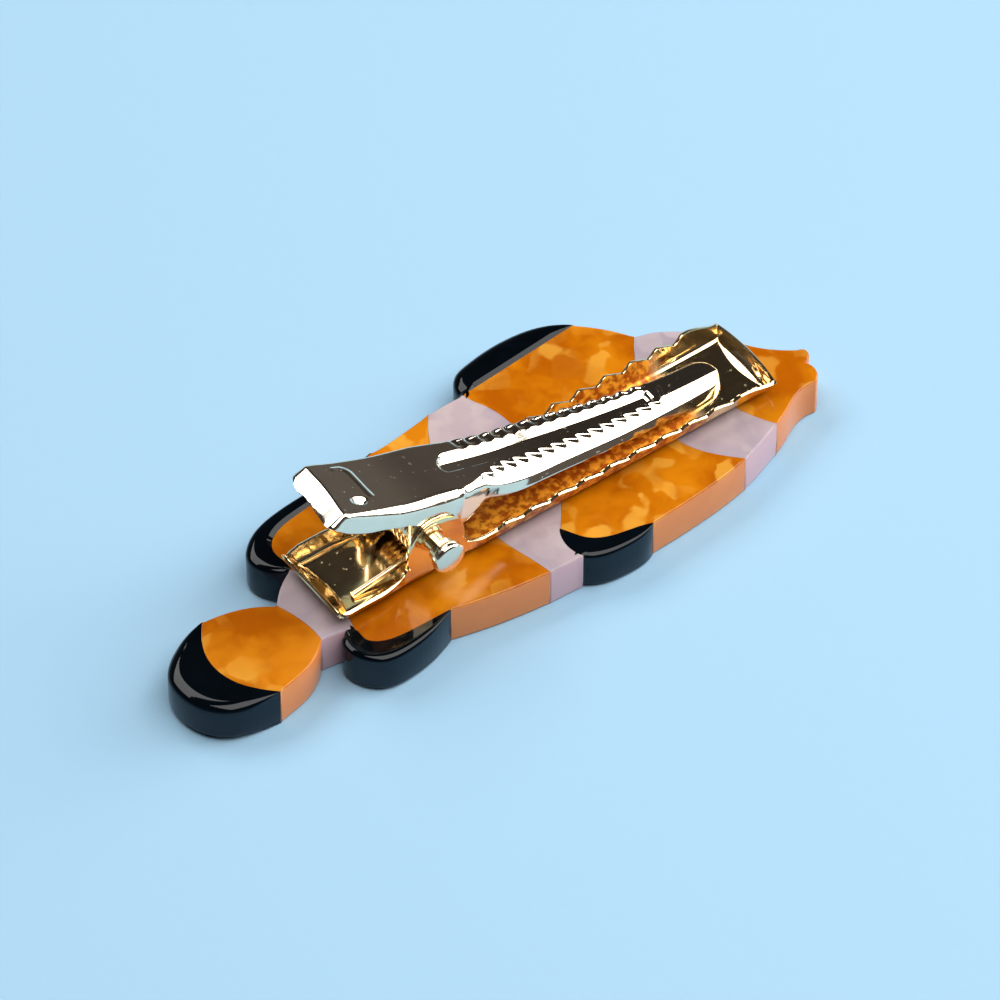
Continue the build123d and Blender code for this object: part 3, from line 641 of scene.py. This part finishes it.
def plating_group():
    """Polished plate: a slow waviness, fine drawn scratches along the clip, and a few tiny pits."""
    group = bpy.data.node_groups.new("polished_plate", "ShaderNodeTree")
    for name, kind, way in (("Bright", "NodeSocketColor", "INPUT"), ("Worn", "NodeSocketColor", "INPUT"),
                            ("Dullness", "NodeSocketFloat", "INPUT"), ("Color", "NodeSocketColor", "OUTPUT"),
                            ("Roughness", "NodeSocketFloat", "OUTPUT"),
                            ("Height", "NodeSocketFloat", "OUTPUT")):
        group.interface.new_socket(name=name, in_out=way, socket_type=kind)
    given = group.nodes.new("NodeGroupInput").outputs
    result = group.nodes.new("NodeGroupOutput").inputs
    place = add_node(group, "ShaderNodeTexCoord").outputs["Object"]
    waves = add_node(group, "ShaderNodeTexNoise", [("Vector", place), ("Scale", 420.0), ("Detail", 2.0)])
    drawn = add_node(group, "ShaderNodeMapping", [("Vector", place), ("Scale", (0.12, 1.0, 1.0))])
    scratches = add_node(group, "ShaderNodeTexNoise",
                         [("Vector", drawn.outputs["Vector"]), ("Scale", 6500.0), ("Detail", 2.0)])
    pits = add_node(group, "ShaderNodeTexNoise", [("Vector", place), ("Scale", 1900.0), ("Detail", 1.0)])
    pitted = add_node(group, "ShaderNodeMapRange",
                      [("Value", pits.outputs["Fac"]), ("From Min", 0.68), ("From Max", 0.76)],
                      interpolation_type="SMOOTHSTEP").outputs["Result"]
    worn = add_node(group, "ShaderNodeMapRange",
                    [("Value", waves.outputs["Fac"]), ("From Min", 0.4), ("From Max", 0.75)],
                    interpolation_type="SMOOTHSTEP").outputs["Result"]
    colour = add_node(group, "ShaderNodeMix", [("Factor", worn), ("A", given["Bright"]),
                                               ("B", given["Worn"])], data_type="RGBA")
    dull = add_node(group, "ShaderNodeMath", [(0, scratches.outputs["Fac"]), (1, 0.12),
                                              (2, given["Dullness"])], operation="MULTIPLY_ADD")
    dull = add_node(group, "ShaderNodeMath", [(0, pitted), (1, 0.2), (2, dull.outputs[0])],
                    operation="MULTIPLY_ADD")
    ridges = add_node(group, "ShaderNodeMath", [(0, scratches.outputs["Fac"]), (1, 0.02),
                                                (2, waves.outputs["Fac"])], operation="MULTIPLY_ADD")
    height = add_node(group, "ShaderNodeMath", [(0, pitted), (1, -0.15), (2, ridges.outputs[0])],
                      operation="MULTIPLY_ADD")
    group.links.new(colour.outputs["Result"], result["Color"])
    group.links.new(dull.outputs[0], result["Roughness"])
    group.links.new(height.outputs[0], result["Height"])
    return group


plating = plating_group()


def plated(name, bright, worn, dullness):
    """Polished metal plate from the plating group, with its waviness and scratches as a faint bump."""
    material, shader = new_material(name, bright, dullness, metallic=1.0)
    tree = material.node_tree
    plate = add_node(tree, "ShaderNodeGroup", node_tree=plating)
    for socket, value in (("Bright", (*bright, 1)), ("Worn", (*worn, 1)), ("Dullness", dullness)):
        plate.inputs[socket].default_value = value
    tree.links.new(plate.outputs["Color"], shader.inputs["Base Color"])
    tree.links.new(plate.outputs["Roughness"], shader.inputs["Roughness"])
    bump = add_node(tree, "ShaderNodeBump", [("Strength", 0.25), ("Distance", 0.00003),
                                             ("Height", plate.outputs["Height"])])
    tree.links.new(bump.outputs["Normal"], shader.inputs["Normal"])
    return material


pale_plate = plated("pale_gold_plate", (0.96, 0.85, 0.68), (0.93, 0.80, 0.62), 0.03)
for piece in lever_pieces:
    piece.data.materials.append(pale_plate)
    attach(piece, "lever")
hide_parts("lever")

# The clip's base: a channel of the same gold-plated sheet, glued on the ornament's back. Its walls lean
# outwards to toothed rims and rise into two ears for the rivet, and its floor turns up at both ends.
CLIP_SEAT_Z = 4.03
JAW_ENDS = (-22.65, 22.5)
JAW_SHEET = 0.3
FLOOR_HALF = 3.68
FLOOR_Z = CLIP_SEAT_Z + JAW_SHEET
FLOOR_BEND = 0.8
BEND_SHARE = 0.45
FLOOR_MARGIN = 0.1
FLOOR_LINES = 10
WALL_LINES = 9
WALL_LEANS = ((-22.6, 24), (-18.5, 24), (-16.8, 14), (-15.4, 0), (-12.5, 0), (-9.6, 0), (-7.9, 17), (5.0, 17),
              (17.0, 17), (22.5, 24))
TAIL_RIM_Z = 5.65
TAIL_CORNER = 1.8
FRONT_RIM_Z = 5.98
TIP_RIM_Z = 5.63
JAW_EAR = 2.85
EAR_FOOT = 0.7
TOOTH_PITCH = 2.72
TOOTH_HEIGHT = 0.55
TOOTH_CREST = 0.42
TOOTH_WEAR = 1.2
FIRST_NOTCH = -6.73
LAST_NOTCH = 17.75
LAST_RISE = 1.1
FALL_START = 1.5
RIM_POINTS = 800
ARC_POINTS = 60
TAIL_LIP = (0.9, 1.65)
TAIL_SOFTNESS = 0.02
TIP_LIP = (0.35, 1.3)
TIP_CROWN = 0.15
TIP_BULGE = 0.35
TIP_BULGE_START = 20.3
TIP_BULGE_HALF = 4.2
TIP_FIRST_RISE = 0.3
TIP_STEEPNESS = 2.5
WALL_RIPPLE = 0.006
RIPPLE_WAVES = (5.0, 3.0, 4.0)
RIPPLE_FOOT = (0.35, 0.6)
RIPPLE_ENDS = (20.8, 21.6)
EAR_BLEND = 0.6


def arch_points(centre, radius, start, end):
    """Points on a circle between two angles in degrees."""
    angles = np.radians(np.linspace(start, end, ARC_POINTS))
    return np.stack([centre[0] + radius * np.cos(angles), centre[1] + radius * np.sin(angles)], 1)


def rim_line():
    """The side view of a rim from tail to tip: a straight rise, an ear on rounded feet, nine worn teeth.

    A tooth climbs steeply to its crest in four tenths of the pitch and falls evenly to the next notch.
    After the last notch the rim rises once more and then falls to the tip.
    """
    left, right = PIVOT[0] - JAW_EAR, PIVOT[0] + JAW_EAR
    teeth = np.linspace(right + EAR_FOOT, JAW_ENDS[1], RIM_POINTS)
    phase = np.mod(teeth - FIRST_NOTCH, TOOTH_PITCH) / TOOTH_PITCH
    crest = easing(phase, 0, TOOTH_CREST) * (1 - ramp(phase, TOOTH_CREST, 1)**TOOTH_WEAR)
    crest = np.where(teeth < FIRST_NOTCH, 0.0, crest)
    crest = np.where(teeth > LAST_NOTCH, easing(teeth, LAST_NOTCH, LAST_NOTCH + LAST_RISE), crest)
    fall = (TIP_RIM_Z - FRONT_RIM_Z - TOOTH_HEIGHT) * easing(teeth, LAST_NOTCH + FALL_START, JAW_ENDS[1])
    return np.concatenate([
        [(JAW_ENDS[0], TAIL_RIM_Z), (JAW_ENDS[0] + TAIL_CORNER, FRONT_RIM_Z)],
        arch_points((left - EAR_FOOT, FRONT_RIM_Z + EAR_FOOT), EAR_FOOT, -90, 0),
        arch_points(PIVOT, JAW_EAR, 180, 0),
        arch_points((right + EAR_FOOT, FRONT_RIM_Z + EAR_FOOT), EAR_FOOT, 180, 270),
        np.stack([teeth, FRONT_RIM_Z + TOOTH_HEIGHT * crest + fall], 1)])


rim = rim_line()
walked = np.concatenate([[0], np.cumsum(np.linalg.norm(np.diff(rim, axis=0), axis=1))])
marks = np.linspace(0, walked[-1], int(walked[-1] / LINE_STEP))
rim_x, rim_z = (np.interp(marks, walked, rim[:, axis]) for axis in range(2))
ear_start = PIVOT[0] - JAW_EAR - EAR_FOOT
ear_end = PIVOT[0] + JAW_EAR + EAR_FOOT
in_ear = (rim_x > ear_start) & (rim_x < ear_end)
ear_marks = marks[in_ear]
floor_x = rim_x.copy()
floor_x[in_ear] = np.interp(ear_marks, [ear_marks[0], ear_marks[-1]], [ear_start, ear_end])


def floor_height(along, across):
    """The floor with its turned-up ends, which rise from bend lines that curve into the floor.

    The tail's end is a straight slope. The tip's end is a scoop that steepens as it rises.
    """
    middle = np.clip(1 - (across / (FLOOR_HALF + FLOOR_MARGIN))**2, 0, 1)
    tail_share = 1 - (along - JAW_ENDS[0]) / (TAIL_LIP[0] + (TAIL_LIP[1] - TAIL_LIP[0]) * middle)
    tip_share = 1 - (JAW_ENDS[1] - along) / (TIP_LIP[0] + (TIP_LIP[1] - TIP_LIP[0]) * middle)
    tail_rise = 0.5 * (tail_share + np.sqrt(tail_share**2 + TAIL_SOFTNESS))
    tip_share = np.clip(tip_share, 0, 1)
    tip_rise = TIP_FIRST_RISE * tip_share + (1 - TIP_FIRST_RISE) * tip_share**TIP_STEEPNESS
    return (FLOOR_Z + (TAIL_RIM_Z - FLOOR_Z) * np.minimum(tail_rise, 1)
            + (TIP_RIM_Z - FLOOR_Z + TIP_CROWN * middle) * tip_rise)


# One half of the jaw is rows of points from the middle of the floor, round the bend and up the wall. The
# wall's press marks are a faint ripple. The other half is its mirror image.
rim_y = FLOOR_HALF + (rim_z - FLOOR_Z) * np.tan(np.radians(flowing(WALL_LEANS, rim_x)))
corner = np.stack([floor_x, FLOOR_HALF + 0 * floor_x, floor_height(floor_x, FLOOR_HALF)], -1)
rim_place = np.stack([rim_x, rim_y, rim_z], -1)
wall_length = np.linalg.norm(rim_place - corner, axis=1)
bend = np.minimum(FLOOR_BEND, BEND_SHARE * wall_length)
up_wall = (rim_place - corner) / wall_length[:, None]
across_floor = np.linspace(0, 1, FLOOR_LINES)[:, None] * (FLOOR_HALF - bend)
floor_rows = np.stack([floor_x + 0 * across_floor, across_floor, floor_height(floor_x, across_floor)], -1)
wall_start = corner + up_wall * bend[:, None]
bend_rows = [floor_rows[-1] * (1 - t)**2 + corner * 2 * t * (1 - t) + wall_start * t**2
             for t in (0.2, 0.4, 0.6, 0.8, 1.0)]
wall_rows = [wall_start + (rim_place - wall_start) * t for t in np.linspace(0, 1, WALL_LINES + 1)[1:]]
half = np.stack([*floor_rows, *bend_rows, *wall_rows])
height = half[..., 2] - FLOOR_Z
drift = np.sin(RIPPLE_WAVES[1] * half[..., 0] + RIPPLE_WAVES[2] * height)
ripple = WALL_RIPPLE * np.sin(RIPPLE_WAVES[0] * half[..., 0] + 2 * drift)
at_ear = (easing(half[..., 0], ear_start - EAR_BLEND, ear_start)
          * easing(-half[..., 0], -ear_end - EAR_BLEND, -ear_end))
on_wall = easing(height, *RIPPLE_FOOT) * easing(-np.abs(half[..., 0]), -RIPPLE_ENDS[1], -RIPPLE_ENDS[0])
half[..., 1] += ripple * (1 - at_ear) * on_wall
at_tip = easing(half[..., 0], TIP_BULGE_START, JAW_ENDS[1])
half[..., 0] += TIP_BULGE * at_tip * (1 - (half[..., 1] / TIP_BULGE_HALF)**2)
mirrored = half[:0:-1] * (1, -1, 1)
points, faces = stacked_rings(np.concatenate([mirrored, half]) + (CLIP_X, CLIP_Y, 0), closed=False)
jaw = write_mesh("base_channel", points, [face[::-1] for face in faces], crease=50)
thicken(jaw, JAW_SHEET * MM, CUT_EDGE * MM)

# The channel's inside, low down from the ears to the tip: a satin, less metallic finish, and a painted
# reflection, a mottled orange that stands in for the orange acetate mirrored to and fro inside the channel.
SATIN_REFLECTION_ENDS = ((-0.0046, -0.0033), (0.0212, 0.0192))
SATIN_REFLECTION_BELOW = (0.0055, 0.0051)
SATIN_REFLECTION_DARK = (0.40, 0.09, 0.0015, 1)
SATIN_REFLECTION_LIGHT = (0.98, 0.43, 0.03, 1)
SATIN_ROUGHNESS = 0.38


def between(tree, value, low, high):
    """A mask's socket: 0 at low, 1 at high."""
    return add_node(tree, "ShaderNodeMapRange", [("Value", value), ("From Min", low), ("From Max", high)],
                    interpolation_type="SMOOTHSTEP").outputs["Result"]


def satin_and_reflection_group():
    """The pressing's inside from the ears to the tip: where it is left satin and given a painted reflection,
    a mottled orange standing in for the orange acetate mirrored inside the channel.
    """
    group = bpy.data.node_groups.new("satin_inside_painted_reflection", "ShaderNodeTree")
    for name, kind in (("Color", "NodeSocketColor"), ("Metal", "NodeSocketFloat"),
                       ("Mask", "NodeSocketFloat")):
        group.interface.new_socket(name=name, in_out="OUTPUT", socket_type=kind)
    result = group.nodes.new("NodeGroupOutput").inputs
    place = add_node(group, "ShaderNodeTexCoord").outputs["Object"]
    at = add_node(group, "ShaderNodeSeparateXYZ", [("Vector", place)]).outputs
    up = add_node(group, "ShaderNodeSeparateXYZ",
                  [("Vector", add_node(group, "ShaderNodeNewGeometry").outputs["Normal"])]).outputs["Z"]
    mask = add_node(group, "ShaderNodeMath", [(0, between(group, at["Z"], *SATIN_REFLECTION_BELOW)),
                                              (1, between(group, up, 0.8, 0.5))],
                    operation="MAXIMUM").outputs[0]
    for start, end in SATIN_REFLECTION_ENDS:
        mask = add_node(group, "ShaderNodeMath", [(0, mask), (1, between(group, at["X"], start, end))],
                        operation="MULTIPLY").outputs[0]
    reflection_blots = add_node(group, "ShaderNodeTexNoise", [("Vector", place), ("Scale", 1500.0), ("Detail", 3.0)])
    tone = add_node(group, "ShaderNodeMix", [("Factor", between(group, reflection_blots.outputs["Fac"], 0.40, 0.64)),
                                             ("A", SATIN_REFLECTION_DARK), ("B", SATIN_REFLECTION_LIGHT)], data_type="RGBA")
    metal = add_node(group, "ShaderNodeMapRange", [("Value", mask), ("To Min", 1.0), ("To Max", 0.4)])
    group.links.new(tone.outputs["Result"], result["Color"])
    group.links.new(metal.outputs["Result"], result["Metal"])
    group.links.new(mask, result["Mask"])
    return group


gold_plate = plated("gold_plate", (0.96, 0.76, 0.44), (0.92, 0.69, 0.36), 0.05)
inside_tree = gold_plate.node_tree
gold_shader = inside_tree.nodes["Principled BSDF"]
# The jaw's gold plate, with the painted orange reflection and the satin finish blended in on its inside.
satin = add_node(inside_tree, "ShaderNodeGroup", node_tree=satin_and_reflection_group()).outputs
for socket, kind, given in (("Base Color", "RGBA", satin["Color"]), ("Roughness", "FLOAT", SATIN_ROUGHNESS)):
    blend = add_node(inside_tree, "ShaderNodeMix",
                     [("Factor", satin["Mask"]), ("A", gold_shader.inputs[socket].links[0].from_socket),
                      ("B", given)], data_type=kind)
    inside_tree.links.new(blend.outputs["Result"], gold_shader.inputs[socket])
inside_tree.links.new(satin["Metal"], gold_shader.inputs["Metallic"])
jaw.data.materials.append(gold_plate)
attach(jaw, "fish")
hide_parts("base_jaw")

# The rivet: turned brass, with a collar and a round-edged head at each end, riveted through the four
# ears. It is a side view turned about the hinge's axis.
RIVET_PROFILE = ((0.9, 0.0), (0.9, 4.2), (1.12, 4.24), (1.18, 4.32), (1.18, 4.92), (1.25, 4.96),
                 (1.4, 4.99), (1.48, 5.09), (1.5, 5.22), (1.5, 5.5), (1.47, 5.65), (1.37, 5.78), (1.2, 5.84),
                 (0.7, 5.87))
profile = np.array(RIVET_PROFILE)
profile = np.concatenate([profile[::-1] * (1, -1), profile])
around = np.linspace(0, 2 * np.pi, ROUND_POINTS + 1)[:-1]
rings = np.stack([CLIP_X + PIVOT[0] + profile[:, :1] * np.cos(around), CLIP_Y + profile[:, 1:] + 0 * around,
                  PIVOT[1] + profile[:, :1] * np.sin(around)], -1)
points, faces = stacked_rings(rings)
faces.append(np.arange(ROUND_POINTS)[::-1].tolist())
faces.append((len(points) - ROUND_POINTS + np.arange(ROUND_POINTS)).tolist())
rivet = write_mesh("rivet", points, [face[::-1] for face in faces])
rivet.data.materials.append(plated("rivet_metal", (0.95, 0.84, 0.68), (0.90, 0.77, 0.60), 0.07))
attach(rivet, "fish")
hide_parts("pin")

# The torsion spring: gold-coloured wire wound round the rivet, with a leg on each jaw. Its CAD solids have
# the right shapes and get their metal here.
spring_wire = plated("spring_wire", (0.95, 0.74, 0.46), (0.88, 0.64, 0.36), 0.06)
for node in ("spring_coil", "spring_arm"):
    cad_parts[node].material_slots[0].material = spring_wire

# The floor and the light: a sheet of pale blue card under the clip, lit by three softboxes: overhead on
# the near side, low at the right, and high behind. Between them the bright metal mirrors a dark room.
FLOOR_BLUE = (0.27, 0.437, 0.57)
FLOOR_HALF_WIDTH = 900.0
floor_material, floor_shader = new_material("pale_blue_card", FLOOR_BLUE, 0.9)
grain = add_node(floor_material.node_tree, "ShaderNodeTexNoise", [("Scale", 900.0), ("Detail", 3.0)])
grain_bump = add_node(floor_material.node_tree, "ShaderNodeBump",
                      [("Strength", 0.15), ("Distance", 0.0002), ("Height", grain.outputs["Fac"])])
floor_material.node_tree.links.new(grain_bump.outputs["Normal"], floor_shader.inputs["Normal"])
floor_points = FLOOR_HALF_WIDTH * np.array([[-1, -1, 0], [1, -1, 0], [1, 1, 0], [-1, 1, 0]], float)
floor = write_mesh("floor", floor_points, [[0, 1, 2, 3]])
floor.data.materials.append(floor_material)


def softbox(name, place, aim, width, depth, power):
    """A rectangular light at a place in metres, facing a point."""
    lamp = bpy.data.lights.new(name, "AREA")
    lamp.shape = "RECTANGLE"
    lamp.size = width
    lamp.size_y = depth
    lamp.energy = power
    thing = bpy.data.objects.new(name, lamp)
    bpy.context.scene.collection.objects.link(thing)
    thing.location = place
    thing.rotation_euler = (Vector(aim) - Vector(place)).to_track_quat("-Z", "Y").to_euler()


softbox("overhead_softbox", (0.185, -0.21, 0.60), (0.185, -0.21, 0.0), 0.84, 0.47, 5.85)
softbox("right_softbox", (0.54, -0.13, 0.27), (0.0, 0.0, 0.02), 0.5, 0.36, 3.0)
softbox("back_softbox", (-0.16, 0.52, 0.60), (-0.16, 0.52, 0.0), 0.62, 0.54, 4.9)
world = bpy.data.worlds.new("dark_room")
bpy.context.scene.world = world
world.use_nodes = True
sky = world.node_tree
upward = add_node(sky, "ShaderNodeSeparateXYZ",
                  [("Vector", add_node(sky, "ShaderNodeTexCoord").outputs["Generated"])])
dusk = add_node(sky, "ShaderNodeMapRange", [("Value", upward.outputs["Z"]), ("From Min", 0.12),
                                            ("From Max", 0.6)], interpolation_type="SMOOTHSTEP")
room = add_node(sky, "ShaderNodeMix", [("Factor", dusk.outputs["Result"]), ("A", (0.105, 0.096, 0.093, 1)),
                                       ("B", (0.027, 0.0235, 0.0225, 1))], data_type="RGBA")
sky.links.new(room.outputs["Result"], sky.nodes["Background"].inputs["Color"])
bpy.context.scene.view_settings.view_transform = "Standard"

# The camera: a long lens from the tail's near side, looking down at 48 degrees.
CAMERA_TARGET = Vector((0.00343, 0.000562, 0.0))
CAMERA_WAY = Vector((-0.3894, -0.5376, 0.7479))
CAMERA_DISTANCE = 0.8
FOCAL_LENGTH = 341.36
SENSOR_WIDTH = 36.0
lens = bpy.data.cameras.new("photo_camera")
lens.lens = FOCAL_LENGTH
lens.sensor_width = SENSOR_WIDTH
camera = bpy.data.objects.new("photo_camera", lens)
bpy.context.scene.collection.objects.link(camera)
camera.location = CAMERA_TARGET + CAMERA_WAY.normalized() * CAMERA_DISTANCE
camera.rotation_euler = (-CAMERA_WAY).to_track_quat("-Z", "Y").to_euler()
bpy.context.scene.camera = camera
